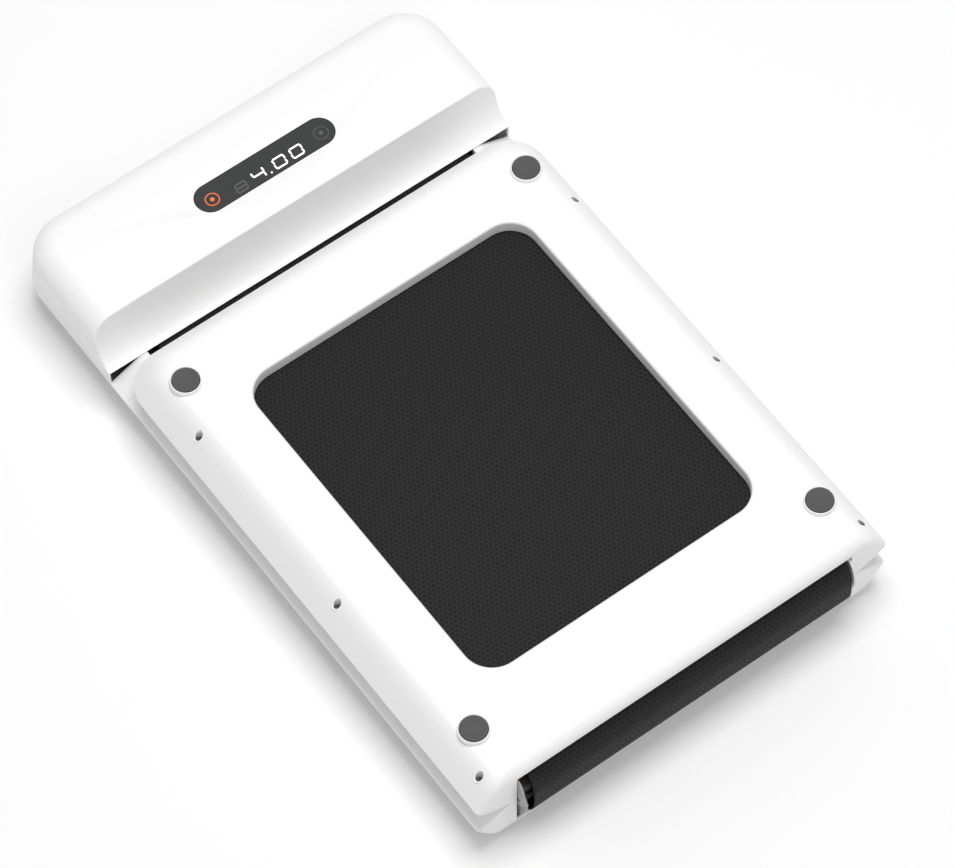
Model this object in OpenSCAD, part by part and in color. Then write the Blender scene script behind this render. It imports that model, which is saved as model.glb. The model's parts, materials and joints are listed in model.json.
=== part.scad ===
// Under-desk walking treadmill that folds in half, drawn folded.
// X runs across it, Y forward to the head, Z up from the floor. Millimetres.
// Lengths along a half are measured from the fold axis, and are called v here.

/* [Overall] */
// Width over the side lips
width = 518; // [480:1:640]
// Length of the rear half, from the fold axis to the tail lip
rear_len = 630; // [560:1:780]
// Length of the head, from the foot of its ramp to its far end
head_len = 179.5; // [165:0.5:230]
// Gap between the tail lip and the foot of the ramp
tail_gap = 15.5; // [10:0.5:30]
// Height of one half, from the ground under its feet to the fold plane
half_h = 64.5; // [60:0.5:80]
// Height of the head above the floor
head_h = 126; // [110:1:150]

/* [Casing] */
// Wall of the white casings
shell_t = 2.5; // [2:0.1:3.5]
// Height from the side lip up to the fold plane
lip_drop = 19; // [15:0.5:24]
// How far the bottom plate stands in from the side lip
plate_inset = 31; // [24:0.5:40]
// Corner radius in plan at the tail
tail_r = 45; // [30:1:60]
// Corner radius in plan at the head
head_r = 48; // [30:1:60]
// Width of the opening between the rails
opening_w = 422; // [400:1:520]
// Width of the flat top of a rail
rail_top_w = 8; // [5:0.5:14]
// Depth of the ramp of the head, from its foot to its crest
ramp_run = 27; // [20:1:36]
// Height of the ramp's foot above the fold plane
ramp_foot = 1.5; // [1:0.5:4]
// Radius of the head's upper edges
head_edge_r = 28; // [18:1:34]

/* [Window] */
// Width of the window in the rear pan
window_w = 353; // [280:1:380]
// Sideways place of the window, off the middle
window_shift = 2.3; // [-6:0.1:6]
// Length of the window
window_l = 421; // [300:1:440]
// Corner radius of the window
window_r = 33; // [15:1:45]
// Distance from the fold axis to the window
window_v = 104; // [70:1:130]

/* [Walking belt] */
// Width of the belt
belt_w = 402; // [360:1:408]
// Thickness of the belt
belt_t = 1.6; // [1.2:0.1:2.4]
// Sideways place of the belt, off the middle
belt_shift = 3.5; // [-4:0.5:4]
// Depth of the walking surface under the fold plane
top_drop = 2.5; // [2:0.1:5]
// Depth of the returning run's outer face under the fold plane
run_drop = 42.5; // [38:0.5:46]
// Thickness of the deck boards
deck_t = 12; // [9:0.5:15]

/* [Belt at the fold] */
// How far the belt stands out past the fold axis when folded
wrap_bulge = 11; // [6:0.5:14]
// Length of each short link at the corner
corner_link = 9; // [6:0.5:11]
// Length of the link between the corner and the last one
face_link = 16; // [10:0.5:18]
// Clearance at each end of a link
link_gap = 0.15; // [0.1:0.05:0.4]

/* [Frame] */
// Width of a side beam
beam_w = 13; // [10:0.5:18]
// Wall of the steel tubes
tube_t = 1.5; // [1:0.1:2.5]
// Height of the steel tubes under the deck
tube_h = 17; // [13:0.5:20]
// Radius of the roller axles
axle_r = 5; // [4:0.5:6]
// Wall of the roller tubes
roller_wall = 2.2; // [1.5:0.1:3]
// Radius of the hinge pins
pin_r = 3.5; // [2.5:0.5:4.5]
// Radius of the hinge knuckles
knuckle_r = 9; // [7:0.5:10]
// Thickness of a hinge leaf
leaf_t = 2.4; // [2:0.1:3]

/* [Feet and screws] */
// Radius of a rubber foot
foot_r = 14.35; // [10:0.05:18]
// Height of a foot below the plate
foot_h = 5.5; // [4:0.5:9]
// Distance between the feet across the treadmill
foot_span = 435.5; // [380:0.5:440]
// Distance from the fold axis to the first feet
foot_v = 63.6; // [45:0.1:90]
// Distance from the tail lip back to the last feet
foot_tail = 69; // [55:1:90]
// Radius of the screw shanks
screw_r = 2; // [1.5:0.1:2.5]

/* [Head fittings] */
// Length of the display window
display_l = 175; // [120:1:240]
// Width of the display window
display_w = 36; // [24:1:50]
// Distance from the foot of the ramp to the display's middle
display_v = 82.5; // [70:0.5:110]
// Radius of the motor
motor_r = 34; // [26:1:36]
// Length of the motor
motor_l = 120; // [90:1:150]
// Radius of the roller's pulley
big_pulley_r = 22; // [16:0.5:23]
// Radius of the motor's pulley
small_pulley_r = 11; // [8:0.5:15]
// Radius of the transport wheels
wheel_r = 18; // [14:0.5:20]

/* [Hidden] */

$fn = 48;
eps = 1;                  // overshoot of a cut past the face it opens
seam = 0.2;               // gap between neighbouring casings
end_gap = 0.5;            // gap from the fold axis to the end faces
run_gap = 0.3;            // gap between moving and standing pieces
shaft_gap = 0.05;         // radial clearance of a turning shaft
arc_steps = 7;            // straight steps in a rounded corner

// Levels of the front half
lip_z = half_h - lip_drop;
rail_z = half_h - seam;
deck_top = half_h - top_drop - belt_t;
deck_under = deck_top - deck_t;
run_out = half_h - run_drop;
run_in = run_out + belt_t;
axis_z = (deck_top + run_in) / 2;
wrap_r = (deck_top - run_in) / 2;
roller_r = wrap_r - run_gap;

// Places along a half
ramp_v = rear_len + tail_gap;
front_len = ramp_v + head_len;
front_roller_v = ramp_v + 26.5;
rear_roller_v = rear_len - 31;
rail_end_v = ramp_v - 28.5;
deck_end_gap = 31;        // from a deck's end to the roller's axis

// The fold axis stands so that the whole folded length is centred on the origin
fold_y = wrap_bulge - (wrap_bulge + front_len) / 2;

half_w = width / 2;
open_x = opening_w / 2;
belt_left = belt_shift - belt_w / 2;

// Rolled edge of a pan at the fold
roll_r = 14;
roll_z = foot_h + roll_r + 1;

// Hinge leaves stand beside the belt, the front one inside the rear one
leaf_in = [open_x - 5.8, open_x - 3.1];
leaf_foot_v = [20, 60];
leaf_low = 27;
leaf_high = 46;
notch_v = 64;
nose_v = 4;

// Side beams
beam_x = open_x + 1;
deck_x = beam_x + beam_w - 4;
beam_z = deck_under - tube_h;
beam_v = 18;
member_w = 25;
bolt_x = beam_x + beam_w / 2;
bolt_r = 2.5;
bearing_l = 9;
bolt_reach = 10;          // from the tail roller's axis to the beams' ends
slot_l = 5.5;             // room for the axle in its slot, each way
tail_slope = 14;          // depth of the tail cover's sloping end

// Where the run of the belt turns up at the fold
wrap_turn = 22.5;
wrap_depth = half_h - run_in;
last_link = wrap_depth - corner_link * (sin(wrap_turn) + sin(2 * wrap_turn)) - face_link * sin(3 * wrap_turn);
links = [corner_link, corner_link, face_link, last_link];
wrap_reach = corner_link * (cos(wrap_turn) + cos(2 * wrap_turn)) + face_link * cos(3 * wrap_turn);
run_v = wrap_reach - (wrap_bulge - belt_t);
run_slide = 2 * corner_link + face_link + last_link - run_v;

// Head levels and places
ramp_z = half_h + ramp_foot;
motor_v = ramp_v + 102;
motor_z = foot_h + motor_r + 12;
motor_x = -60 - motor_l;
pulley_x = 1 - beam_x;
pulley_w = 10;
control_x = [30, 170];
control_v = [front_len - 120, front_len - 40];
control_z = foot_h + 12;
inlet_x = -150;
inlet_z = 68;
inlet_size = [27, 19];
hole_gap = 0.4;
rocker_x = -105;
rocker_r = 9;
rocker_w = 13.4;
frame_size = [17, 22];
wheel_v = front_len - 33;
wheel_z = foot_h + wheel_r + 4;
wheel_x = 196;
wheel_w = 18;
wheel_axle_r = 4;
ear_t = 3;
wheel_room = 6;           // how far the head's feet stand back from the wheels
tube_x = [14 - open_x, open_x - 4];
motor_shaft_r = 4;
display_t = 1.6;
rocker_turn = 20;
foot_seat = 3;
boss_top = 36;
screw_top = 50;
screw_x = half_w - 18.5;
screw_seat = 26;
screw_head = 2.4;
screw_vs = [23.5, rear_len * 0.418, rear_len - 124.5];

// Colours
white = "whitesmoke";
dark = [0.17, 0.17, 0.18];
steel = [0.62, 0.63, 0.65];
rubber = [0.4, 0.4, 0.41];

// ---- Shared shapes ----

// A front-half piece, from its v, to its place
module at_fold() {
    translate([0, fold_y, 0]) children();
}

// The same piece turned over onto the rear half, as folded
module turned_over() {
    translate([0, 0, 2 * half_h]) mirror([0, 0, 1]) children();
}

module both_sides() {
    children();
    mirror([1, 0, 0]) children();
}

// Points of a quarter turn about a centre, from angle a0
function quarter(cx, cy, r, a0) = [
    for (i = [0:arc_steps]) [cx + r * cos(a0 + 90 * i / arc_steps), cy + r * sin(a0 + 90 * i / arc_steps)]];

function backwards(points) = [for (i = [len(points) - 1:-1:0]) points[i]];

// Plan outline from v0 to v1, with its far corners rounded
module plan(hw, v0, v1, r) {
    polygon(concat([[-hw, v0], [hw, v0]], quarter(hw - r, v1 - r, r, 0), quarter(r - hw, v1 - r, r, 90)));
}

// Outline with four round corners
module pill(w, l, r) {
    polygon(concat(
        quarter(w / 2 - r, l / 2 - r, r, 0), quarter(r - w / 2, l / 2 - r, r, 90),
        quarter(r - w / 2, r - l / 2, r, 180), quarter(w / 2 - r, r - l / 2, r, 270)));
}

module slice(z, hw, v0, v1, r) {
    translate([0, 0, z - 0.01]) linear_extrude(0.01) plan(hw, v0, v1, r);
}

// Bar along X
module x_bar(x0, x1, v, z, r) {
    translate([x0, v, z]) rotate([0, 90, 0]) cylinder(r = r, h = x1 - x0);
}

// Body turned about X, from points of x and radius
module x_turned(points) {
    rotate([0, 90, 0]) rotate_extrude() polygon([for (p = points) [p[1], p[0]]]);
}

// Plate or bar with its outline in v and z, spanning x0 to x1
module x_plate(x0, x1, points) {
    translate([x0, 0, 0]) rotate([90, 0, 90]) linear_extrude(x1 - x0) polygon(points);
}

// Bar along v with its outline in x and z
module v_bar(v0, v1) {
    translate([0, v1, 0]) rotate([90, 0, 0]) linear_extrude(v1 - v0) children();
}

module block(low, high) {
    translate(low) cube(high - low);
}

// ---- Pans ----

// Solid body of a pan, or with a wall, the space inside it
module pan_body(len, r, wall = 0) {
    flat_w = half_w - plate_inset;
    flat_end = len - plate_inset;
    top = wall > 0 ? eps : 0;
    hull() {
        slice(foot_h + wall + 0.01, flat_w - wall / 2, roll_r + end_gap, flat_end - 8 - wall / 2, r * 0.6);
        slice(foot_h + wall + 4, flat_w + 7 - wall, roll_r * 0.3 + end_gap + wall, flat_end - wall, r * 0.75);
        slice(foot_h + 14 + wall * 0.6, flat_w + 17 - wall, end_gap + wall, flat_end + 15 - wall, r - wall);
        slice(lip_z + top, half_w - wall, end_gap + wall, len - wall, r - wall);
    }
}

function foot_places(last_v) = [for (sx = [-1, 1], v = [foot_v, last_v]) [sx * foot_span / 2, v]];

module at_screws() {
    both_sides() for (v = screw_vs) translate([screw_x, v, 0]) children();
}

// Tray of a half: plate, flanks and end walls, with its foot seats and screw bosses
module pan(len, r, feet) {
    difference() {
        union() {
            difference() {
                pan_body(len, r);
                pan_body(len, r, shell_t);
            }
            for (p = feet) translate([p[0], p[1], foot_h]) cylinder(r = foot_r + 3, h = foot_seat + shell_t);
            intersection() {
                at_screws() translate([0, 0, foot_h]) cylinder(r = 6, h = boss_top - foot_h);
                pan_body(len, r);
            }
            both_sides() block([open_x, end_gap + 1, foot_h + 6], [open_x + 2, beam_v - 2, lip_z]);
        }
        for (p = feet) translate([p[0], p[1], foot_h - eps]) cylinder(r = foot_r + 0.4, h = eps + foot_seat);
        at_screws() {
            translate([0, 0, foot_h - eps]) cylinder(r = screw_r * 2.1, h = screw_seat - foot_h + eps);
            translate([0, 0, foot_h]) cylinder(r = screw_r + 0.1, h = lip_z);
        }
        block([-open_x, -eps, roll_z], [open_x, shell_t + 2, half_h]);
    }
}

module front_pan() {
    color(white) difference() {
        pan(front_len, head_r, foot_places(front_len - foot_tail - wheel_room));
        for (sx = [-1, 1]) block(
            [sx * wheel_x - wheel_w / 2 - 2, wheel_v - wheel_r - 3, 0],
            [sx * wheel_x + wheel_w / 2 + 2, front_len, lip_z - 3]);
    }
    color(white) intersection() {
        for (sx = [-1, 1], side = [-1, 1]) wheel_ear(sx * wheel_x + side * (wheel_w / 2 + 1 + ear_t));
        pan_body(front_len, head_r);
    }
}

// Ear that holds one end of a wheel's axle
module wheel_ear(x) {
    difference() {
        block([x - ear_t / 2, wheel_v - 12, foot_h + 1], [x + ear_t / 2, wheel_v + 9, wheel_z + 12]);
        x_bar(x - ear_t, x + ear_t, wheel_v, wheel_z, wheel_axle_r);
    }
}

module rear_pan() {
    mid_v = window_v + window_l / 2;
    color(white) turned_over() difference() {
        union() {
            pan(rear_len, tail_r, foot_places(rear_len - foot_tail));
            translate([window_shift, mid_v, foot_h + 1]) linear_extrude(run_out - 0.6 - foot_h - 1)
                pill(window_w + 4, window_l + 4, window_r + 2);
        }
        translate([window_shift, mid_v, 0]) linear_extrude(half_h) pill(window_w, window_l, window_r);
    }
}

// ---- Rails ----

// Section of the right rail, in x and z
module rail_section() {
    top_x = open_x + rail_top_w;
    fall = (rail_z - lip_z - 1) / (half_w - top_x);
    polygon([
        [open_x, deck_top + 0.6], [open_x, rail_z], [top_x, rail_z], [half_w, lip_z + 1], [half_w, lip_z + seam],
        [half_w - 4, lip_z + seam], [top_x - 0.5, rail_z - 2.2 + fall * 0.5], [open_x + 2, rail_z - 2.2],
        [open_x + 2, deck_top + 0.6]]);
}

// Whole outline of the same section
module rail_outline() {
    polygon([
        [open_x, lip_z + seam], [open_x, rail_z], [open_x + rail_top_w, rail_z], [half_w, lip_z + 1],
        [half_w, lip_z + seam]]);
}

// Right rail from the fold to v1
module rail(v1) {
    v_bar(end_gap, v1) rail_section();
    difference() {
        v_bar(end_gap, end_gap + shell_t) rail_outline();
        block([0, 0, lip_z], [open_x + 2, 2 * shell_t, deck_top + 0.6]);
    }
    for (v = screw_vs) if (v < v1) difference() {
        intersection() {
            translate([screw_x, v, boss_top + seam]) cylinder(r = 5, h = lip_drop);
            union() {
                v_bar(end_gap, v1) rail_outline();
                block([open_x, end_gap, foot_h], [half_w - 4, v1, lip_z + 1]);
            }
        }
        translate([screw_x, v, 0]) cylinder(r = screw_r + shaft_gap, h = screw_top);
    }
}

module front_rail_right() { color(white) rail(rail_end_v); }
module front_rail_left() { color(white) mirror([1, 0, 0]) rail(rail_end_v); }
module rear_rail_right() { color(white) turned_over() rail(rear_len - tail_r); }
module rear_rail_left() { color(white) turned_over() mirror([1, 0, 0]) rail(rear_len - tail_r); }

// Rounded cover behind the tail roller
module tail_cover() {
    top_x = open_x + rail_top_w;
    module cover_body(wall) {
        hull() {
            slice(rail_z - wall, top_x - wall * 0.4, 0, rear_len - tail_slope - wall * 0.4, tail_r - 20);
            slice(lip_z + 1 - wall * 1.5, half_w - wall, 0, rear_len - wall, tail_r - wall);
            slice(lip_z + seam - wall, half_w - wall, 0, rear_len - wall, tail_r - wall);
        }
    }
    color(white) turned_over() difference() {
        cover_body(0);
        cover_body(shell_t);
        block([-half_w, -eps, 0], [half_w, rear_len - tail_r + seam, half_h]);
        block([-open_x, 0, 0], [open_x, rear_roller_v + wrap_r * 0.45, half_h]);
    }
}

// ---- Frame ----

// Square tube along v, its right one of a pair
module beam(v1) {
    difference() {
        block([beam_x, beam_v, beam_z], [beam_x + beam_w, v1, deck_under]);
        block(
            [beam_x + tube_t, beam_v - eps, beam_z + tube_t],
            [beam_x + beam_w - tube_t, v1 - 4, deck_under - tube_t]);
        children();
    }
}

module front_beam() {
    beam(front_roller_v + 30) x_bar(open_x, half_w, front_roller_v, axis_z, axle_r);
}

module rear_beam() {
    beam(rear_roller_v + bolt_reach) {
        block([open_x, rear_roller_v - slot_l, axis_z - axle_r], [half_w, rear_roller_v + slot_l, axis_z + axle_r]);
        translate([bolt_x, rear_roller_v + 20, axis_z]) rotate([90, 0, 0]) cylinder(r = bolt_r + 0.1, h = 20);
    }
}

module front_beam_right() { color(steel) front_beam(); }
module front_beam_left() { color(steel) mirror([1, 0, 0]) front_beam(); }
module rear_beam_right() { color(steel) turned_over() rear_beam(); }
module rear_beam_left() { color(steel) turned_over() mirror([1, 0, 0]) rear_beam(); }

// Tubes from beam to beam under the deck
module cross_members(vs) {
    for (v = vs) difference() {
        block([-beam_x, v, beam_z], [beam_x, v + member_w, deck_under]);
        block(
            [-beam_x - eps, v + tube_t, beam_z + tube_t],
            [beam_x + eps, v + member_w - tube_t, deck_under - tube_t]);
    }
}

module front_cross_members() { color(steel) cross_members([80, rear_len / 2, rail_end_v - 40]); }
module rear_cross_members() { color(steel) turned_over() cross_members([80, rear_len / 2, rear_roller_v - 75]); }

// Board that the belt slides on, notched beside the hinges
module deck(v1) {
    difference() {
        block([-deck_x, end_gap, deck_under], [deck_x, v1, deck_top]);
        both_sides() block([leaf_in[0] - 0.6, 0, 0], [half_w, notch_v, half_h]);
    }
}

module front_deck() { color("tan") deck(front_roller_v - deck_end_gap); }
module rear_deck() { color("tan") turned_over() deck(rear_roller_v - deck_end_gap); }

// ---- Hinges ----

// Leaf that holds the pin, with a nose that follows the folded belt
module leaf(x0, bore) {
    difference() {
        union() {
            x_plate(x0, x0 + leaf_t, concat(
                [for (i = [0:arc_steps]) [
                    nose_v - (nose_v + wrap_bulge - 0.5) * cos(90 * i / arc_steps),
                    half_h - (half_h - leaf_low) * sin(90 * i / arc_steps)]],
                [[leaf_foot_v[1], leaf_low], [leaf_foot_v[1], leaf_high], [leaf_foot_v[0], leaf_high], [7, half_h]]));
            x_bar(x0, x0 + leaf_t, 0, half_h, knuckle_r);
        }
        x_bar(x0 - eps, x0 + leaf_t + eps, 0, half_h, bore);
    }
    block([x0 + leaf_t, leaf_foot_v[0], leaf_low + 1], [beam_x, leaf_foot_v[1], leaf_high - 1]);
}

module front_hinge_leaves() { color(steel) both_sides() leaf(leaf_in[0], pin_r); }
module rear_hinge_leaves() { color(steel) turned_over() both_sides() leaf(leaf_in[1], pin_r + shaft_gap); }

module hinge_pins() {
    color(dark) both_sides() x_bar(leaf_in[0], leaf_in[1] + leaf_t, 0, half_h, pin_r);
}

// ---- Rollers ----

module axle() {
    x_bar(-beam_x - beam_w, beam_x + beam_w, 0, 0, axle_r);
}

module roller_tube() {
    difference() {
        x_bar(tube_x[0], tube_x[1], 0, 0, roller_r);
        x_bar(-open_x, open_x, 0, 0, roller_r - roller_wall);
    }
}

module bearing(x) {
    difference() {
        x_bar(x, x + bearing_l, 0, 0, roller_r - roller_wall);
        x_bar(x - eps, x + bearing_l + eps, 0, 0, axle_r + shaft_gap);
    }
}

module bearings() {
    bearing(tube_x[0] + 2);
    bearing(tube_x[1] - bearing_l - 2);
}

module at_front_roller() { translate([0, front_roller_v, axis_z]) children(); }
module at_rear_roller() { turned_over() translate([0, rear_roller_v, axis_z]) children(); }

module front_axle() { color(steel) at_front_roller() axle(); }

// Roller with its pulley at the left end
module front_roller() {
    color(steel) at_front_roller() x_turned([
        [pulley_x, axle_r + 1], [pulley_x, big_pulley_r], [pulley_x + pulley_w, big_pulley_r],
        [pulley_x + pulley_w, roller_r], [tube_x[1], roller_r], [tube_x[1], roller_r - roller_wall],
        [tube_x[0] + 2, roller_r - roller_wall], [tube_x[0] + 2, axle_r + 1]]);
}

module front_bearings() { color(dark) at_front_roller() bearings(); }

module rear_axle() {
    color(steel) at_rear_roller() difference() {
        axle();
        both_sides() translate([bolt_x, axle_r + eps, 0]) rotate([90, 0, 0])
            cylinder(r = bolt_r, h = 2 * (axle_r + eps));
    }
}

module rear_roller() { color(steel) at_rear_roller() roller_tube(); }
module rear_bearings() { color(dark) at_rear_roller() bearings(); }

// Bolts that pull the tail roller back, through the beams' end plates
module tension_bolts() {
    color(steel) at_rear_roller() both_sides() translate([bolt_x, 0, 0]) rotate([-90, 0, 0]) {
        translate([0, 0, -axle_r - 3]) cylinder(r = bolt_r, h = axle_r + 3 + bolt_reach);
        translate([0, 0, bolt_reach]) cylinder(r = 4.5, h = 3.5, $fn = 6);
    }
}

// ---- Walking belt ----

module belt_strip(v0, v1, z) {
    block([belt_left, v0, z], [belt_left + belt_w, v1, z + belt_t]);
}

// Half ring of belt round a roller
module belt_nose() {
    difference() {
        x_bar(belt_left, belt_left + belt_w, 0, 0, wrap_r + belt_t);
        x_bar(belt_left - eps, belt_left + belt_w + eps, 0, 0, wrap_r);
        block([-half_w, -half_h, -half_h], [half_w, 0, half_h]);
    }
}

module front_belt_top() { color(dark) belt_strip(link_gap, front_roller_v, deck_top); }
module rear_belt_top() { color(dark) turned_over() belt_strip(link_gap, rear_roller_v, deck_top); }
module front_belt_nose() { color(dark) at_front_roller() belt_nose(); }
module rear_belt_nose() { color(dark) at_rear_roller() belt_nose(); }

module run(roller_v) {
    belt_strip(run_v + link_gap, roller_v - run_slide - link_gap, run_out);
}

module front_belt_run() { color(dark) run(front_roller_v); }
module rear_belt_run() { color(dark) turned_over() run(rear_roller_v); }

// Where link n starts on the inner face of the folded belt: v and z
function link_v(n) = n == 1 ? run_v : link_v(n - 1) - links[n - 2] * cos((n - 1) * wrap_turn);
function link_z(n) = n == 1 ? run_in : link_z(n - 1) + links[n - 2] * sin((n - 1) * wrap_turn);

// Link n of the belt where it turns up at the fold
module wrap(n) {
    translate([belt_left, link_v(n), link_z(n)]) rotate([-n * wrap_turn, 0, 0])
        translate([0, link_gap - links[n - 1], -belt_t]) cube([belt_w, links[n - 1] - 2 * link_gap, belt_t]);
}

module front_wrap(n) { color(dark) wrap(n); }
module rear_wrap(n) { color(dark) turned_over() wrap(n); }

// ---- Head ----

// Points of the ramp, from its foot up to its crest, moved out by a wall
function ramp_points(wall) = [
    for (i = [0:arc_steps]) [
        ramp_v + (ramp_run + wall) * sin(85 * i / arc_steps),
        head_h - (head_h - ramp_z + wall) * cos(85 * i / arc_steps)]];

// Side outline of the head in v and z
function head_side(wall) = concat(
    [[ramp_v + wall * 0.2, lip_z + seam - wall]], ramp_points(wall),
    [[ramp_v + ramp_run + wall, head_h - wall]],
    backwards(quarter(front_len - head_edge_r, head_h - head_edge_r, head_edge_r - wall, 0)),
    [[front_len - wall, lip_z + seam - wall]]);

// The head as a solid, or with a wall, the space inside it
module head_body(wall) {
    intersection() {
        translate([0, 0, lip_z - wall]) linear_extrude(head_h)
            plan(half_w - wall, 0, front_len - wall, head_r - wall);
        v_bar(ramp_v - eps, front_len + eps) polygon(concat(
            [[half_w - wall, lip_z + seam - wall]],
            quarter(half_w - head_edge_r, head_h - head_edge_r, head_edge_r - wall, 0),
            quarter(head_edge_r - half_w, head_h - head_edge_r, head_edge_r - wall, 90),
            [[wall - half_w, lip_z + seam - wall]]));
        x_plate(-half_w, half_w, head_side(wall));
    }
}

module head_cover() {
    color(white) difference() {
        union() {
            difference() {
                head_body(0);
                head_body(shell_t);
            }
            both_sides() difference() {
                v_bar(rail_end_v + seam, ramp_v + shell_t) rail_section();
                block([0, ramp_v, 0], [open_x + 0.1, ramp_v + 4, half_h]);
            }
            both_sides() v_bar(ramp_v, ramp_v + shell_t) rail_outline();
        }
        block([-open_x, ramp_v - eps, 0], [open_x, ramp_v + 6, ramp_z - 0.8]);
        block(
            [-beam_x - beam_w - seam, ramp_v - eps, 0],
            [beam_x + beam_w + seam, ramp_v + 6, deck_under + seam]);
        translate([0, ramp_v + display_v, head_h - display_t]) linear_extrude(shell_t)
            pill(display_l, display_w, display_w / 2 - 0.01);
        translate([inlet_x, front_len - 12, inlet_z]) wall_hole(inlet_size);
        translate([rocker_x, front_len - 12, inlet_z]) wall_hole(frame_size);
    }
}

// Oblong hole through the far wall
module wall_hole(size) {
    half = [size[0] + hole_gap, size[1] + hole_gap] / 2;
    block([-half[0], 0, -half[1]], [half[0], 20, half[1]]);
}

module display_lens() {
    color(dark) translate([0, ramp_v + display_v, head_h - display_t])
        linear_extrude(display_t) pill(display_l - 0.6, display_w - 0.6, display_w / 2 - 0.31);
}

module display_board() {
    color("darkgreen") translate([0, ramp_v + display_v, 0])
        block(
            [-display_l / 2 + 8, -display_w / 2 + 3, head_h - shell_t - 6],
            [display_l / 2 - 8, display_w / 2 - 3, head_h - shell_t - 3]);
}

module at_motor() { translate([0, motor_v, motor_z]) children(); }

module motor_body() {
    color(dark) at_motor() difference() {
        union() {
            x_bar(motor_x, motor_x + motor_l, 0, 0, motor_r);
            x_bar(motor_x - 6, motor_x, 0, 0, 14);
        }
        x_bar(motor_x - 7, motor_x + 20, 0, 0, motor_shaft_r + shaft_gap);
    }
}

// Two feet under the motor
module motor_bracket() {
    color(steel) for (x = [motor_x + 8, motor_x + motor_l - 20]) difference() {
        block([x, motor_v - 30, foot_h + shell_t + 0.5], [x + 12, motor_v + 30, motor_z]);
        x_bar(x - eps, x + 13, motor_v, motor_z, motor_r);
    }
}

// Rotor's free end: pulley and shaft
module motor_pulley() {
    color(steel) at_motor() x_turned([
        [pulley_x, 0], [pulley_x, small_pulley_r], [pulley_x + pulley_w, small_pulley_r],
        [pulley_x + pulley_w, motor_shaft_r], [motor_x + 18, motor_shaft_r], [motor_x + 18, 0]]);
}

// Belt from the motor to the roller
module drive_belt() {
    module loop(grow) {
        hull() {
            translate([front_roller_v, axis_z]) circle(r = big_pulley_r + grow);
            translate([motor_v, motor_z]) circle(r = small_pulley_r + grow);
        }
    }
    color(dark) translate([pulley_x + 1, 0, 0]) rotate([90, 0, 90]) linear_extrude(pulley_w - 2) difference() {
        loop(run_gap + 2.5);
        loop(run_gap);
    }
}

module controller_board() {
    color("darkgreen") {
        block([control_x[0], control_v[0], control_z], [control_x[1], control_v[1], control_z + display_t]);
        for (x = [20, 44]) translate([control_x[0] + x, control_v[1] - 20, control_z + display_t])
            cylinder(r = 9, h = 28);
        for (x = [control_x[0] + 10, control_x[1] - 10], v = [control_v[0] + 8, control_v[1] - 8])
            translate([x, v, foot_h + shell_t + seam]) cylinder(r = 3, h = control_z - foot_h - shell_t - seam);
    }
}

// Base on the board, with upright fins
module controller_heat_sink() {
    base_z = control_z + display_t + seam;
    fins_x = control_x[1] - 74;
    fin_pitch = 9.5;
    fin_t = 2;
    color(steel) {
        block([fins_x, control_v[0] + 10, base_z], [fins_x + 7 * fin_pitch + fin_t, control_v[1] - 20, base_z + 3]);
        for (i = [0:7])
            block(
                [fins_x + i * fin_pitch, control_v[0] + 10, base_z + 3],
                [fins_x + fin_t + i * fin_pitch, control_v[1] - 20, base_z + 23]);
    }
}

// Three-pin inlet in the far wall
module power_inlet() {
    half = inlet_size / 2;
    color(dark) translate([inlet_x, front_len, inlet_z]) {
        difference() {
            union() {
                block([-half[0], -22, -half[1]], [half[0], -0.1, half[1]]);
                block([-17, -4.6, -12], [17, -shell_t - 0.1, 12]);
            }
            block([-11, -17, -7], [11, 1, 7]);
        }
        for (x = [-6, 0, 6]) block([x - 1, -18, -2], [x + 1, -5, 2]);
    }
}

module at_rocker() { translate([rocker_x, front_len - 7, inlet_z]) children(); }

module switch_frame() {
    color(dark) at_rocker() difference() {
        union() {
            block([-frame_size[0] / 2, -15, -frame_size[1] / 2], [frame_size[0] / 2, 6.9, frame_size[1] / 2]);
            block([-11, 2, -13], [11, 4.4, 13]);
        }
        x_bar(-rocker_w / 2 - run_gap, rocker_w / 2 + run_gap, 0, 0, rocker_r + run_gap);
        block(
            [-rocker_w / 2 - run_gap, 0, -rocker_r - run_gap],
            [rocker_w / 2 + run_gap, 8, rocker_r + run_gap]);
        x_bar(-8, 8, 0, 0, 1.5 + shaft_gap);
    }
}

// Rocker with two faces at an angle, one of them pressed in
module power_rocker() {
    color(dark) at_rocker() {
        intersection() {
            x_bar(-rocker_w / 2, rocker_w / 2, 0, 0, rocker_r);
            rotate([rocker_turn / 2, 0, 0]) x_plate(-rocker_w / 2, rocker_w / 2, [
                [-4, -10], [7, -10], [5, 0], [7, 10], [-4, 10]]);
        }
        x_bar(-7.9, 7.9, 0, 0, 1.5);
    }
}

// ---- Wheels, feet and screws ----

module wheel(x) {
    color(dark) translate([0, wheel_v, wheel_z]) difference() {
        x_bar(x - wheel_w / 2, x + wheel_w / 2, 0, 0, wheel_r);
        x_bar(x - wheel_w, x + wheel_w, 0, 0, wheel_axle_r + shaft_gap);
    }
}

module wheel_left() { wheel(-wheel_x); }
module wheel_right() { wheel(wheel_x); }

module wheel_axles() {
    color(steel) for (x = [-wheel_x, wheel_x])
        x_bar(x - wheel_w / 2 - 2 * ear_t, x + wheel_w / 2 + 2 * ear_t, wheel_v, wheel_z, wheel_axle_r);
}

module feet(last_v) {
    color(rubber) for (p = foot_places(last_v)) translate([p[0], p[1], 0]) cylinder(r = foot_r, h = foot_h + foot_seat);
}

module front_feet() { feet(front_len - foot_tail - wheel_room); }
module rear_feet() { turned_over() feet(rear_len - foot_tail); }

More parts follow.
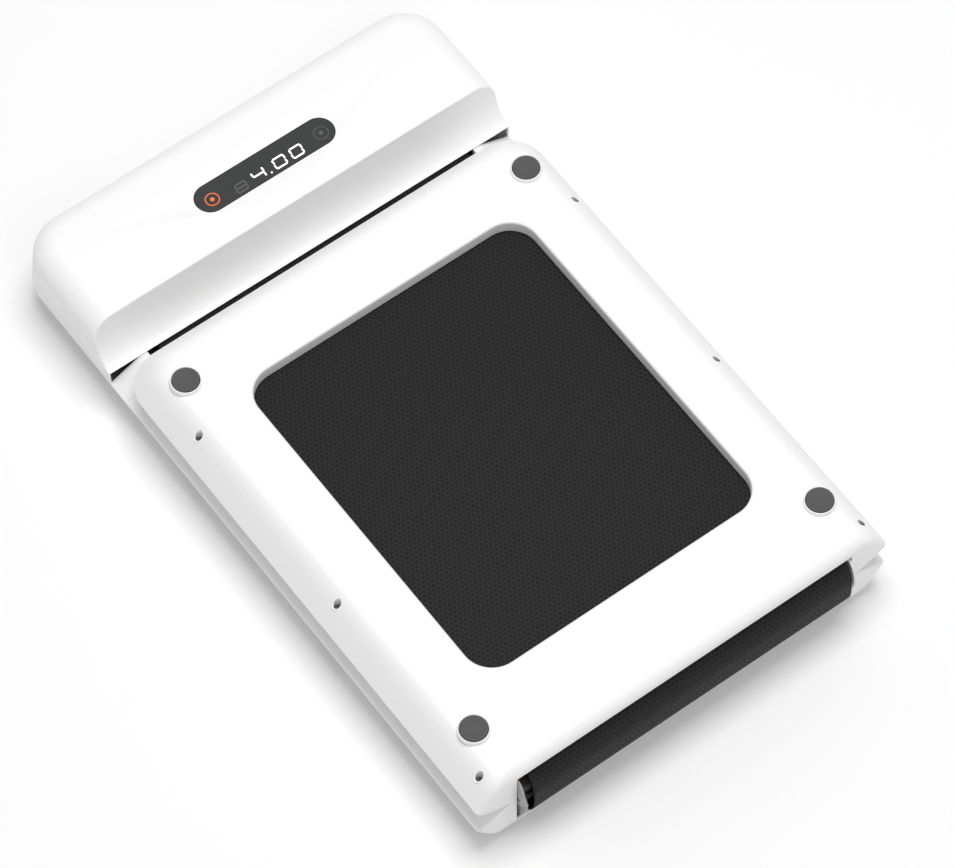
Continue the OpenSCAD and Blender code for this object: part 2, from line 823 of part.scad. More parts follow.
module screws() {
    color(steel) at_screws() {
        translate([0, 0, screw_seat - screw_head]) difference() {
            cylinder(r = screw_r * 1.9, h = screw_head);
            translate([0, 0, -eps]) cylinder(r = screw_r * 0.7, h = eps + 1.4, $fn = 6);
        }
        translate([0, 0, screw_seat]) cylinder(r = screw_r, h = screw_top - 2 - screw_seat);
    }
}

module front_screws() { screws(); }
module rear_screws() { turned_over() screws(); }

at_fold() front_pan();
at_fold() front_rail_left();
at_fold() front_rail_right();
at_fold() front_beam_left();
at_fold() front_beam_right();
at_fold() front_cross_members();
at_fold() front_deck();
at_fold() head_cover();
at_fold() display_lens();
at_fold() display_board();
at_fold() motor_body();
at_fold() motor_bracket();
at_fold() motor_pulley();
at_fold() drive_belt();
at_fold() controller_board();
at_fold() controller_heat_sink();
at_fold() power_inlet();
at_fold() switch_frame();
at_fold() power_rocker();
at_fold() front_axle();
at_fold() front_roller();
at_fold() front_bearings();
at_fold() front_feet();
at_fold() front_screws();
at_fold() front_hinge_leaves();
at_fold() hinge_pins();
at_fold() wheel_axles();
at_fold() wheel_left();
at_fold() wheel_right();
at_fold() front_belt_top();
at_fold() front_belt_nose();
at_fold() front_belt_run();
at_fold() front_wrap(1);  // front_wrap_1
at_fold() front_wrap(2);  // front_wrap_2
at_fold() front_wrap(3);  // front_wrap_3
at_fold() front_wrap(4);  // front_wrap_4
at_fold() rear_pan();
at_fold() rear_rail_left();
at_fold() rear_rail_right();
at_fold() tail_cover();
at_fold() rear_beam_left();
at_fold() rear_beam_right();
at_fold() rear_cross_members();
at_fold() rear_deck();
at_fold() rear_axle();
at_fold() rear_roller();
at_fold() rear_bearings();
at_fold() tension_bolts();
at_fold() rear_feet();
at_fold() rear_screws();
at_fold() rear_hinge_leaves();
at_fold() rear_belt_top();
at_fold() rear_belt_nose();
at_fold() rear_belt_run();
at_fold() rear_wrap(1);  // rear_wrap_1
at_fold() rear_wrap(2);  // rear_wrap_2
at_fold() rear_wrap(3);  // rear_wrap_3
at_fold() rear_wrap(4);  // rear_wrap_4
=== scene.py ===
import json
import math

import bmesh
import bpy
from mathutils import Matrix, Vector


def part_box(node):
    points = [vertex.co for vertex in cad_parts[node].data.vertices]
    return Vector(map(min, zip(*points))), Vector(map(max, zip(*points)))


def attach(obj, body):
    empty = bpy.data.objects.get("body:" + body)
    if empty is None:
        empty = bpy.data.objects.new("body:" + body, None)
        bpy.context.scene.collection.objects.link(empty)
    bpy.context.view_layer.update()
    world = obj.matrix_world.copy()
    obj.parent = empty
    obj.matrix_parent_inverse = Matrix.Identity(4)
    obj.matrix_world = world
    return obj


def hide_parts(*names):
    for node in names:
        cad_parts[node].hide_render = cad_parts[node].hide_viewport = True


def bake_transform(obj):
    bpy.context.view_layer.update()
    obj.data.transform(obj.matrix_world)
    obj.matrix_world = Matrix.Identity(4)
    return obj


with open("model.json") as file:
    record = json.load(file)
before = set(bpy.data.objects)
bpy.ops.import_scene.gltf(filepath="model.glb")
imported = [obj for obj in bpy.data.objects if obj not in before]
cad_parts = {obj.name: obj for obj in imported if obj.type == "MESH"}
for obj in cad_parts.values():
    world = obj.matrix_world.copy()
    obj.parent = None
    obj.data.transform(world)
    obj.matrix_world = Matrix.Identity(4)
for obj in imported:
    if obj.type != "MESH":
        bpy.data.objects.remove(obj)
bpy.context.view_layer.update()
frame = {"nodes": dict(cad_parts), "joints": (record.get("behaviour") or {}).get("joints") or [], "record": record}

# Lengths are in metres. v is the distance from the fold axis towards the head.
MM = 0.001
FOLD = Vector(next(j["pos_m"] for j in frame["joints"] if j["name"] == "fold"))
TOP = 2 * FOLD.z                       # height of the folded halves
HALF_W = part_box("front_pan")[1].x      # half the width over the lips
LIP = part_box("front_pan")[1].z         # height of the side lip
FRONT_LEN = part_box("front_pan")[1].y - FOLD.y
REAR_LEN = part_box("rear_pan")[1].y - FOLD.y
RAMP_V = 645.5 * MM
RAIL_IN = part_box("rear_rail_right")[0].x
PLATE = 5.5 * MM                       # height of the bottom plate over the floor
WALL = 2.2 * MM
CORNER_STEPS = 14
FOOT_R = 14.35 * MM
SEAT_R = 15.3 * MM                     # radius of the openings that the feet stand in


def y_at(v):
    return FOLD.y + v


# ---- Working by hand in edit mode ----

def begin(name, primitive, **place):
    """A new piece in edit mode, from one primitive at its size and place."""
    bpy.ops.object.select_all(action="DESELECT")
    primitive(**place)
    piece = bpy.context.active_object
    piece.name = piece.data.name = name
    bpy.ops.object.transform_apply()
    bpy.ops.object.mode_set(mode="EDIT")
    return piece


def end():
    bpy.ops.object.mode_set(mode="OBJECT")


def focus(piece):
    bpy.ops.object.select_all(action="DESELECT")
    piece.select_set(True)
    bpy.context.view_layer.objects.active = piece


def pick(test, kind="VERT"):
    """Selects what passes the test: vertices, edges or faces."""
    mesh = bpy.context.edit_object.data
    bpy.ops.mesh.select_mode(type=kind)
    bpy.ops.mesh.select_all(action="DESELECT")
    work = bmesh.from_edit_mesh(mesh)
    for item in {"VERT": work.verts, "EDGE": work.edges, "FACE": work.faces}[kind]:
        if test(item):
            item.select_set(True)
    work.select_flush_mode()
    bmesh.update_edit_mesh(mesh)


def all_at(test):
    """A test that every vertex of an edge or face passes."""
    return lambda item: all(test(v.co) for v in item.verts)


def tidy_normals():
    bpy.ops.mesh.select_mode(type="VERT")
    bpy.ops.mesh.select_all(action="SELECT")
    bpy.ops.mesh.remove_doubles(threshold=0.00001)
    bpy.ops.mesh.normals_make_consistent(inside=False)


def modify(piece, kind, **settings):
    """Adds a modifier and applies it."""
    focus(piece)
    bpy.ops.object.modifier_add(type=kind)
    modifier = piece.modifiers[-1]
    for name, value in settings.items():
        setattr(modifier, name, value)
    bpy.ops.object.modifier_apply(modifier=modifier.name)


def carve(piece, cutter, operation="DIFFERENCE"):
    modify(piece, "BOOLEAN", object=cutter, operation=operation, solver="EXACT")
    bpy.data.objects.remove(cutter)


def smooth(piece, angle=35):
    focus(piece)
    bpy.ops.object.shade_smooth_by_angle(angle=math.radians(angle))


def copy_of(piece, name):
    focus(piece)
    bpy.ops.object.duplicate(linked=False)
    twin = bpy.context.active_object
    twin.name = twin.data.name = name
    return twin


def spread(piece, spots):
    """One piece modelled at the origin, copied to each spot with its own mesh."""
    twins = []
    for x, y in spots:
        twin = copy_of(piece, piece.name)
        twin.location = (x, y, 0)
        focus(twin)
        bpy.ops.object.transform_apply()
        twins.append(twin)
    bpy.data.objects.remove(piece)
    return twins


def flipped(piece, name, axis, centre):
    """A mirrored copy with its own mesh."""
    twin = copy_of(piece, name)
    bpy.ops.object.mode_set(mode="EDIT")
    bpy.ops.mesh.select_all(action="SELECT")
    bpy.ops.transform.mirror(constraint_axis=axis, center_override=centre)
    bpy.ops.mesh.flip_normals()
    end()
    return twin


def joined(name, pieces):
    focus(pieces[0])
    for piece in pieces[1:]:
        piece.select_set(True)
    bpy.ops.object.join()
    pieces[0].name = pieces[0].data.name = name
    return pieces[0]


# ---- Rounded rings: height, half width, near end, far end, near radius, far radius ----

def corner_centre(ring, sx, far):
    z, x, y0, y1, r0, r1 = ring
    return Vector((sx * (x - r1), y1 - r1, z)) if far else Vector((sx * (x - r0), y0 + r0, z))


def flat_ring(ring):
    """Adds a flat face with four round corners."""
    z, x, y0, y1, r0, r1 = ring
    mid = (y0 + y1) / 2
    bpy.ops.mesh.primitive_plane_add(size=1, location=(0, mid, z))
    bpy.ops.transform.resize(value=(2 * x, y1 - y0, 1), center_override=(0, mid, z))
    for radius, far in ((r0, False), (r1, True)):
        pick(lambda v: abs(v.co.z - z) < 1e-6 and abs(abs(v.co.x) - x) < 1e-6
             and abs(v.co.y - (y1 if far else y0)) < 1e-6)
        bpy.ops.mesh.bevel(offset=radius, segments=CORNER_STEPS, affect="VERTICES")


def grow(before, after):
    """Extrudes the selected loop from one ring to the next."""
    bpy.ops.mesh.extrude_edges_move(TRANSFORM_OT_translate={"value": (0, 0, after[0] - before[0])})
    mid = (before[2] + before[3]) / 2
    for sx in (-1, 1):
        for far in (False, True):
            old, new = corner_centre(before, sx, far), corner_centre(after, sx, far)
            old.z = after[0]
            ratio = after[5] / before[5] if far else after[4] / before[4]
            pick(lambda v: abs(v.co.z - after[0]) < 1e-6 and v.co.x * sx > 0 and (v.co.y > mid) == far
                 and v.is_boundary)
            bpy.ops.transform.resize(value=(ratio, ratio, 1), center_override=old)
            bpy.ops.transform.translate(value=new - old)
    pick(lambda e: e.is_boundary and all(abs(v.co.z - after[0]) < 1e-6 for v in e.verts), "EDGE")


def shell_of(name, rings):
    """A piece whose skin passes through the rings, with a flat face at the first."""
    piece = begin(name, bpy.ops.mesh.primitive_plane_add, size=MM)
    bpy.ops.mesh.delete(type="VERT")
    flat_ring(rings[0])
    pick(lambda e: e.is_boundary, "EDGE")
    for before, after in zip(rings, rings[1:]):
        grow(before, after)
    return piece


# ---- Pans ----

# Height of a pan's flank over the floor, and how far it stands in from the lip
FLANK = [(5.5, 35), (5.9, 30.5), (7, 27), (9.2, 23.4), (12.5, 19.8), (17, 16), (23, 12), (32, 7),
         (40, 2.8), (44.3, 0.5), (45.2, 0), (45.5, 0.3)]
ROLL = 14 * MM                         # radius of the edge at the fold
SCREW_X = 240.5 * MM
WELL_R = 4.2 * MM
WINDOW_SHIFT = 2.3 * MM                # how far the window stands to the right
WINDOW_HALF = 176.5 * MM
WINDOW_V = 104 * MM                    # near edge of the window
WINDOW_LEN = 421 * MM
WINDOW_EDGE = 3 * MM                   # rounding of its edge
WINDOW_CORNER = 33 * MM
WINDOW_DEEP = 21.4 * MM
WHEEL_X = 196 * MM
WHEEL_CUT_TOP = 42.5 * MM
screw_ys = [y_at(23.5 * MM), y_at(REAR_LEN * 0.418), y_at(REAR_LEN - 124.5 * MM)]


def pan_rings(length, corner, turned):
    rings = []
    for height, inset in FLANK:
        z = height * MM
        rise = min(1, (z - PLATE) / (40 * MM))
        dip = max(0, ROLL - (z - PLATE))
        near = 0.5 * MM + ROLL - math.sqrt(ROLL ** 2 - dip ** 2)
        rings.append((TOP - z if turned else z, HALF_W - inset * MM, y_at(near),
                      y_at(length - 1.12 * inset * MM), (14 - 9 * rise) * MM, corner * (0.6 + 0.4 * rise)))
    return rings


def open_belt_end(turned):
    """Cuts the wall at the fold away where the belt turns up."""
    level = 20.5 * MM
    z = TOP - level if turned else level
    for x in (-RAIL_IN, RAIL_IN):
        bpy.ops.mesh.select_all(action="SELECT")
        bpy.ops.mesh.bisect(plane_co=(x, 0, 0), plane_no=(1, 0, 0))
    bpy.ops.mesh.select_all(action="SELECT")
    bpy.ops.mesh.bisect(plane_co=(0, 0, z), plane_no=(0, 0, 1))
    pick(all_at(lambda c: abs(c.x) < RAIL_IN + 1e-5 and c.y < y_at(1 * MM)
                and ((c.z < z + 1e-5) if turned else (c.z > z - 1e-5))), "FACE")
    bpy.ops.mesh.delete(type="FACE")


def round_cutters(spots, radius, low, high, vertices=40):
    """Upright cylinders in one piece."""
    depth, mid = high - low, (low + high) / 2
    cutter = begin("cutter", bpy.ops.mesh.primitive_cylinder_add, vertices=vertices, radius=radius,
                   depth=depth, location=(spots[0][0], spots[0][1], mid))
    for x, y in spots[1:]:
        bpy.ops.mesh.primitive_cylinder_add(vertices=vertices, radius=radius, depth=depth, location=(x, y, mid))
    end()
    return cutter


def box_cutter(low, high):
    low, high = Vector(low), Vector(high)
    cutter = begin("cutter", bpy.ops.mesh.primitive_cube_add, size=1, location=(low + high) / 2)
    bpy.ops.transform.resize(value=high - low, center_override=(low + high) / 2)
    end()
    return cutter


def foot_spots(node):
    """Centres of the four feet of a half, from the lowest and highest ones."""
    low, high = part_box(node)
    return [(x, y) for x in (low.x + FOOT_R, high.x - FOOT_R) for y in (low.y + FOOT_R, high.y - FOOT_R)]


def finish_pan(piece, feet, turned):
    """Gives a pan its wall, its foot openings and its screw holes."""
    tidy_normals()
    end()
    modify(piece, "SOLIDIFY", thickness=WALL, offset=-1)
    ends = (TOP - 12 * MM, TOP + 2 * MM) if turned else (-2 * MM, 12 * MM)
    carve(piece, round_cutters(foot_spots(feet), SEAT_R, *ends, vertices=56))
    wells = [(sx * SCREW_X, y) for sx in (-1, 1) for y in screw_ys]
    ends = (TOP - 25 * MM, TOP + 2 * MM) if turned else (-2 * MM, 25 * MM)
    carve(piece, round_cutters(wells, WELL_R, *ends))
    smooth(piece)


def make_rear_pan():
    """The upper casing as folded, with the rounded window in its plate."""
    rings = pan_rings(REAR_LEN, 45 * MM, True)
    edge, radius = WINDOW_EDGE, WINDOW_CORNER
    half, y0 = WINDOW_HALF, y_at(WINDOW_V)
    y1 = y0 + WINDOW_LEN

    def window(out, z):
        return (z, half + out, y0 - out, y1 + out, radius + out, radius + out)

    top = rings[0][0]
    sill = [window(edge, top)]
    sill += [window(edge * (1 - math.sin(a)), top - edge * (1 - math.cos(a)))
             for a in (math.radians(22.5 * n) for n in range(1, 5))]
    sill.append(window(0, TOP - WINDOW_DEEP))
    piece = begin("rear_casing", bpy.ops.mesh.primitive_plane_add, size=MM)
    bpy.ops.mesh.delete(type="VERT")
    flat_ring(rings[0])
    flat_ring(sill[0])
    bpy.ops.mesh.select_mode(type="FACE")
    bpy.ops.mesh.select_all(action="SELECT")
    bpy.ops.mesh.delete(type="ONLY_FACE")
    bpy.ops.mesh.select_mode(type="EDGE")
    bpy.ops.mesh.select_all(action="SELECT")
    bpy.ops.mesh.bridge_edge_loops()
    inside = (lambda c: abs(c.x) < sill[0][1] + 1e-5 and sill[0][2] - 1e-5 < c.y < sill[0][3] + 1e-5)
    pick(lambda e: e.is_boundary and all(inside(v.co) for v in e.verts), "EDGE")
    for before, after in zip(sill, sill[1:]):
        grow(before, after)
    pick(lambda v: inside(v.co))
    bpy.ops.transform.translate(value=(WINDOW_SHIFT, 0, 0))
    pick(lambda e: e.is_boundary and all(abs(v.co.z - top) < 1e-6 for v in e.verts), "EDGE")
    for before, after in zip(rings, rings[1:]):
        grow(before, after)
    open_belt_end(True)
    finish_pan(piece, "rear_feet", True)
    return piece


def make_front_pan():
    """The casing on the floor, with the openings for the wheels."""
    piece = shell_of("front_casing", pan_rings(FRONT_LEN, 48 * MM, False))
    open_belt_end(False)
    finish_pan(piece, "front_feet", False)
    for sx in (-1, 1):
        x = sx * WHEEL_X
        carve(piece, box_cutter((x - 11 * MM, y_at(771 * MM), -0.01),
                                (x + 11 * MM, y_at(830 * MM), WHEEL_CUT_TOP)))
    smooth(piece)
    return piece


def make_screw_wells(name, turned):
    """Tubes that the screws sit in, cut to the slope of the flank."""
    tubes = []
    for sx in (-1, 1):
        tube = begin("well", bpy.ops.mesh.primitive_cylinder_add, vertices=32, radius=WELL_R, depth=22 * MM,
                     end_fill_type="NOTHING", location=(0, 0, 16 * MM))
        bpy.ops.mesh.select_all(action="SELECT")
        bpy.ops.mesh.bisect(plane_co=(0, 0, 14.2 * MM), plane_no=(-sx * 0.76, 0, 0.65), clear_inner=True)
        end()
        modify(tube, "SOLIDIFY", thickness=1.3 * MM, offset=1)
        tubes += spread(tube, [(sx * SCREW_X, y) for y in screw_ys])
    wells = joined(name, tubes)
    if turned:
        bpy.ops.object.mode_set(mode="EDIT")
        bpy.ops.mesh.select_all(action="SELECT")
        bpy.ops.transform.mirror(constraint_axis=(False, False, True), center_override=FOLD)
        tidy_normals()
        end()
    smooth(wells)
    return wells


# ---- Rails and head ----

RAIL_FLAT = 8 * MM                     # width of a rail's flat top


def rail_bar(name, v0, v1, corner=0):
    """Right rail of the front half, from v0 to v1, round at its outer fold corner."""
    low, high = LIP + 0.2 * MM, FOLD.z - 0.2 * MM
    mid = Vector(((RAIL_IN + HALF_W) / 2, y_at((v0 + v1) / 2), (low + high) / 2))
    piece = begin(name, bpy.ops.mesh.primitive_cube_add, size=1, location=mid)
    bpy.ops.transform.resize(value=(HALF_W - RAIL_IN, v1 - v0, high - low), center_override=mid)
    if corner:
        pick(all_at(lambda c: c.x > mid.x and c.y < mid.y), "EDGE")
        bpy.ops.mesh.bevel(offset=corner, segments=6, affect="EDGES")
    bpy.ops.mesh.select_all(action="SELECT")
    run, fall = HALF_W - RAIL_IN - RAIL_FLAT, high - low - 0.8 * MM
    bpy.ops.mesh.bisect(plane_co=(RAIL_IN + RAIL_FLAT, 0, high), plane_no=(fall, 0, run), clear_outer=True,
                        use_fill=True)
    pick(all_at(lambda c: c.z > high - 0.1 * MM and abs(c.x - RAIL_IN - RAIL_FLAT) < 0.1 * MM), "EDGE")
    bpy.ops.mesh.bevel(offset=3 * MM, segments=4, affect="EDGES")
    pick(all_at(lambda c: c.z < low + 1e-6), "FACE")
    bpy.ops.mesh.delete(type="FACE")
    tidy_normals()
    end()
    modify(piece, "SOLIDIFY", thickness=1.8 * MM, offset=-1)
    return piece


def make_rails():
    """The four side rails: one modelled for each half, mirrored for the other side."""
    left, up = (True, False, False), (False, False, True)
    right = rail_bar("front_rail_cover_right", 0.5 * MM, 617 * MM, 5 * MM)
    rear = rail_bar("rear_rail_right_low", 0.5 * MM, 585 * MM, 5 * MM)
    turned = flipped(rear, "rear_rail_cover_right", up, FOLD)
    bpy.data.objects.remove(rear)
    made = [right, flipped(right, "front_rail_cover_left", left, (0, 0, 0)),
            turned, flipped(turned, "rear_rail_cover_left", left, (0, 0, 0))]
    for piece in made:
        smooth(piece, 25)
    return made


HEAD_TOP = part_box("head_cover")[1].z
SHOULDER = 28 * MM                     # radius of the head's upper edges
HEAD_CORNER = 48 * MM                  # corner radius of the head at the lip
HEAD_LEAN = 8 * MM                     # how far the head's end wall leans in
COVE_RUN, COVE_DROP = 27 * MM, 60 * MM
display_y = (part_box("display_lens")[0].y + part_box("display_lens")[1].y) / 2
inlet_mid = sum(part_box("power_inlet"), Vector()) / 2
switch_mid = sum(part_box("switch_frame"), Vector()) / 2


def capsule_cutter(length, width, low, high):
    """Upright cutter with round ends, across the head at the display."""
    cutter = begin("cutter", bpy.ops.mesh.primitive_cube_add, size=1, location=(0, display_y, (low + high) / 2))
    bpy.ops.transform.resize(value=(length, width, high - low), center_override=(0, display_y, (low + high) / 2))
    pick(lambda e: abs(e.verts[0].co.z - e.verts[1].co.z) > 0.5 * (high - low), "EDGE")
    bpy.ops.mesh.bevel(offset=width * 0.4999, segments=20, affect="EDGES")
    end()
    return cutter


def make_head():
    """The head casing: a rounded box, hollowed by a cove towards the belt, with the belt's slot at its foot."""
    near, step = y_at(RAMP_V), 0.7 * MM
    rings = [(HEAD_TOP, HALF_W - 50 * MM, near, y_at(FRONT_LEN - 58 * MM), 0.5 * MM, 18 * MM),
             (HEAD_TOP - step, HALF_W - 44 * MM, near, y_at(FRONT_LEN - 51 * MM), 0.5 * MM, 24 * MM)]
    for n in range(13):
        a = math.radians(90 - 7.5 * n)
        out = SHOULDER * math.cos(a)
        rings.append((HEAD_TOP - step - 0.1 * MM - SHOULDER * (1 - math.sin(a)), HALF_W - SHOULDER + out, near,
                      y_at(FRONT_LEN - HEAD_LEAN) - SHOULDER + out, 0.5 * MM, HEAD_CORNER - SHOULDER + out))
    rings.append((LIP + 0.2 * MM, HALF_W, near, y_at(FRONT_LEN), 0.5 * MM, HEAD_CORNER))
    piece = shell_of("head_housing", rings)
    bpy.ops.mesh.edge_face_add()
    tidy_normals()
    end()
    middle = Vector((0, near, HEAD_TOP))
    cove = begin("cutter", bpy.ops.mesh.primitive_cylinder_add, vertices=128, radius=COVE_RUN, depth=0.6,
                 location=middle, rotation=(0, math.pi / 2, 0))
    bpy.ops.transform.resize(value=(1, 1, COVE_DROP / COVE_RUN), center_override=middle)
    end()
    carve(piece, cove)
    bpy.ops.object.mode_set(mode="EDIT")
    pick(all_at(lambda c: c.z < LIP + 0.3 * MM), "FACE")
    bpy.ops.mesh.delete(type="FACE")
    pick(all_at(lambda c: c.y < near + 0.3 * MM), "FACE")
    bpy.ops.mesh.delete(type="FACE")
    end()
    modify(piece, "SOLIDIFY", thickness=WALL, offset=-1)
    bpy.ops.object.mode_set(mode="EDIT")
    pick(lambda v: v.co.y < near + 0.6 * MM and 62 * MM < v.co.z < 65 * MM)
    bpy.ops.transform.translate(value=(0, 0, 1.4 * MM))
    end()
    carve(piece, capsule_cutter(175 * MM, 36 * MM, HEAD_TOP - 12 * MM, HEAD_TOP + 5 * MM))
    wall = y_at(FRONT_LEN)
    for spot, size in ((inlet_mid, (27.4, 19.4)), (switch_mid, (17.4, 22.4))):
        half = Vector((size[0] / 2 * MM, 0, size[1] / 2 * MM))
        place = Vector((spot.x, wall, 68 * MM))
        carve(piece, box_cutter(place - half - Vector((0, 0.02, 0)), place + half + Vector((0, 0.01, 0))))
    on_cove = (lambda c: abs(((c.y - near) / COVE_RUN) ** 2 + ((c.z - HEAD_TOP) / COVE_DROP) ** 2 - 1) < 0.01
               and c.z > 67 * MM)
    bpy.ops.object.mode_set(mode="EDIT")
    pick(lambda e: e.is_manifold and e.calc_face_angle() > 0.5 and all(on_cove(v.co) for v in e.verts), "EDGE")
    bpy.ops.mesh.bevel(offset=2 * MM, segments=4, affect="EDGES")
    end()
    right = rail_bar("right_stub", 617.2 * MM, RAMP_V + 1 * MM)
    left = flipped(right, "left_stub", (True, False, False), (0, 0, 0))
    piece = joined("head_housing", [piece, right, left])
    modify(piece, "BEVEL", width=0.7 * MM, segments=2, limit_method="ANGLE", angle_limit=math.radians(50))
    smooth(piece, 30)
    return piece


# ---- Display ----

LENS_TOP = HEAD_TOP - 0.25 * MM


def make_lens():
    """Smoked window with a thin black edge."""
    box = capsule_cutter(174.4 * MM, 35.4 * MM, LENS_TOP - 1.6 * MM, LENS_TOP)
    box.name = box.data.name = "display_window"
    bpy.ops.object.mode_set(mode="EDIT")
    pick(all_at(lambda c: c.z > LENS_TOP - 1e-6), "FACE")
    bpy.ops.mesh.inset(thickness=0.9 * MM)
    bpy.context.edit_object.data.materials.append(None)
    tidy_normals()
    end()
    smooth(box)
    return box


def bar_segment(name, length, width):
    """One bar of a digit, with pointed ends, lying along X."""
    z = LENS_TOP + 0.04 * MM
    piece = begin(name, bpy.ops.mesh.primitive_plane_add, size=1, location=(0, 0, z))
    bpy.ops.transform.resize(value=(length, width, 1), center_override=(0, 0, z))
    bpy.ops.mesh.select_all(action="SELECT")
    bpy.ops.mesh.bevel(offset=width * 0.42, segments=1, affect="VERTICES")
    bpy.ops.mesh.select_all(action="SELECT")
    bpy.ops.mesh.extrude_region_move(TRANSFORM_OT_translate={"value": (0, 0, 0.06 * MM)})
    tidy_normals()
    end()
    return piece


# Bars of a digit: place across and along in half digits, and whether the bar stands upright
BARS = {"top": (0, 2, False), "upper_right": (1, 1, True), "lower_right": (1, -1, True),
        "bottom": (0, -2, False), "lower_left": (-1, -1, True), "upper_left": (-1, 1, True),
        "middle": (0, 0, False)}
FOUR = ("upper_left", "upper_right", "middle", "lower_right")
ZERO = ("top", "bottom", "upper_left", "upper_right", "lower_left", "lower_right")


def make_digits(name, digits, height, width, stroke):
    """Slanted digits: each has its middle and the bars that show."""
    parts = []
    for x, y, shown in digits:
        for bar in shown:
            across, along, upright = BARS[bar]
            length = (height - stroke) / 2 - 0.3 * MM if upright else width - stroke - 0.3 * MM
            part = bar_segment(name, length, stroke)
            if upright:
                bpy.ops.object.mode_set(mode="EDIT")
                bpy.ops.mesh.select_all(action="SELECT")
                bpy.ops.transform.rotate(value=math.pi / 2, orient_axis="Z", center_override=(0, 0, LENS_TOP))
                end()
            rise = along * (height - stroke) / 4
            part.location = (x + across * (width - stroke) / 2 + rise * 0.14, y + rise, 0)
            focus(part)
            bpy.ops.object.transform_apply()
            parts.append(part)
    return joined(name, parts)


def make_point(name, x, y, size):
    """A small square point on the display."""
    point = bar_segment(name, size, size)
    point.location = (x, y, 0)
    focus(point)
    bpy.ops.object.transform_apply()
    return point


def make_ring(name, x, y, radius, stroke):
    """Flat ring with a small dot in it."""
    z = LENS_TOP + 0.04 * MM
    piece = begin(name, bpy.ops.mesh.primitive_circle_add, vertices=48, radius=radius, fill_type="NGON",
                  location=(x, y, z))
    bpy.ops.mesh.select_all(action="SELECT")
    bpy.ops.mesh.inset(thickness=stroke)
    bpy.ops.mesh.delete(type="FACE")
    bpy.ops.mesh.primitive_circle_add(vertices=24, radius=radius * 0.3, fill_type="NGON", location=(x, y, z))
    bpy.ops.mesh.select_all(action="SELECT")
    bpy.ops.mesh.extrude_region_move(TRANSFORM_OT_translate={"value": (0, 0, 0.06 * MM)})
    tidy_normals()
    end()
    return piece


# ---- Feet ----

def make_feet(name, node, turned):
    """Rubber feet with a rounded rim and a shallow dish."""
    low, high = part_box(node)
    sole = high.z if turned else low.z
    inward = -1 if turned else 1
    foot = begin(name, bpy.ops.mesh.primitive_circle_add, vertices=56, radius=FOOT_R, fill_type="NGON",
                 location=(0, 0, sole + inward * 8 * MM))
    bpy.ops.mesh.select_all(action="SELECT")
    bpy.ops.mesh.extrude_region_move(TRANSFORM_OT_translate={"value": (0, 0, -inward * 8 * MM)})
    pick(all_at(lambda c: abs(c.z - sole) < 1e-6), "FACE")
    bpy.ops.mesh.inset(thickness=2.6 * MM)
    bpy.ops.mesh.inset(thickness=0.3 * MM, depth=inward * 0.2 * MM)
    pick(lambda e: all(abs(v.co.z - sole) < 1e-6 and v.co.xy.length > 14.3 * MM for v in e.verts), "EDGE")
    bpy.ops.mesh.bevel(offset=0.4 * MM, segments=3, affect="EDGES")
    tidy_normals()
    end()
    feet = joined(name, spread(foot, foot_spots(node)))
    smooth(feet, 40)
    return feet


# A collar's wall: each step's rise, and the radius before and after it
COLLAR = [(5.2, 17, 16.5), (0.6, 16.5, 16.1), (0.1, 16.1, 15.4), (-0.5, 15.4, 15), (-4, 15, 15)]


def make_collars(name, node, turned):
    """Raised rings of the casing round the feet."""
    plate = TOP - PLATE if turned else PLATE
    out = 1 if turned else -1
    collar = begin(name, bpy.ops.mesh.primitive_circle_add, vertices=56, radius=17 * MM, fill_type="NOTHING",
                   location=(0, 0, plate - out * MM))
    for rise, before, after in COLLAR:
        bpy.ops.mesh.extrude_edges_move(TRANSFORM_OT_translate={"value": (0, 0, out * rise * MM)})
        bpy.ops.transform.resize(value=(after / before, after / before, 1), center_override=(0, 0, plate))
    tidy_normals()
    end()
    collars = joined(name, spread(collar, foot_spots(node)))
    smooth(collars, 50)
    return collars


# ---- Walking belt ----

BELT_X = [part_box("front_belt_top")[n].x for n in (0, 1)]
BELT_T = 1.6 * MM
TURN = math.radians(22.5)


def joint_place(name):
    return Vector(next(j["pos_m"] for j in frame["joints"] if j["name"] == name))


def belt_path(half):
    """The belt's inner face from the returning run up to the fold: corners, then stations per corner."""
    turned = half == "rear"
    corners = [joint_place(f"{half}_wrap_{n}_bend") for n in range(1, 5)]
    low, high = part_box(f"{half}_belt_run")
    start = Vector((0, high.y, corners[0].z))
    last = Vector((0, corners[-1].y, FOLD.z))
    return [start] + corners + [last]


def strip_stations(points, n):
    """Stations of strip n, from the middle of one link to the middle of the next, round its corner."""
    corner = points[n]
    back, on = points[n - 1] - corner, points[n + 1] - corner
    first = points[0] if n == 1 else corner + back / 2
    final = points[5] if n == 4 else corner + on / 2
    reach = min((first - corner).length, (final - corner).length, 7.9 * MM) * 0.98
    reach = min(reach, back.length * 0.49 if n > 1 else reach, on.length * 0.49 if n < 4 else reach)
    a, b = corner + back.normalized() * reach, corner + on.normalized() * reach
    radius = reach / math.tan(TURN / 2)
    middle = (a + b) / 2
    inward = (middle - corner).normalized()
    centre = corner + inward * radius / math.cos(TURN / 2)
    arc = []
    for step in range(7):
        share = step / 6
        spoke = (a - centre).lerp(b - centre, share).normalized() * radius
        arc.append(centre + spoke)
    return [first] + arc + [final], a, b


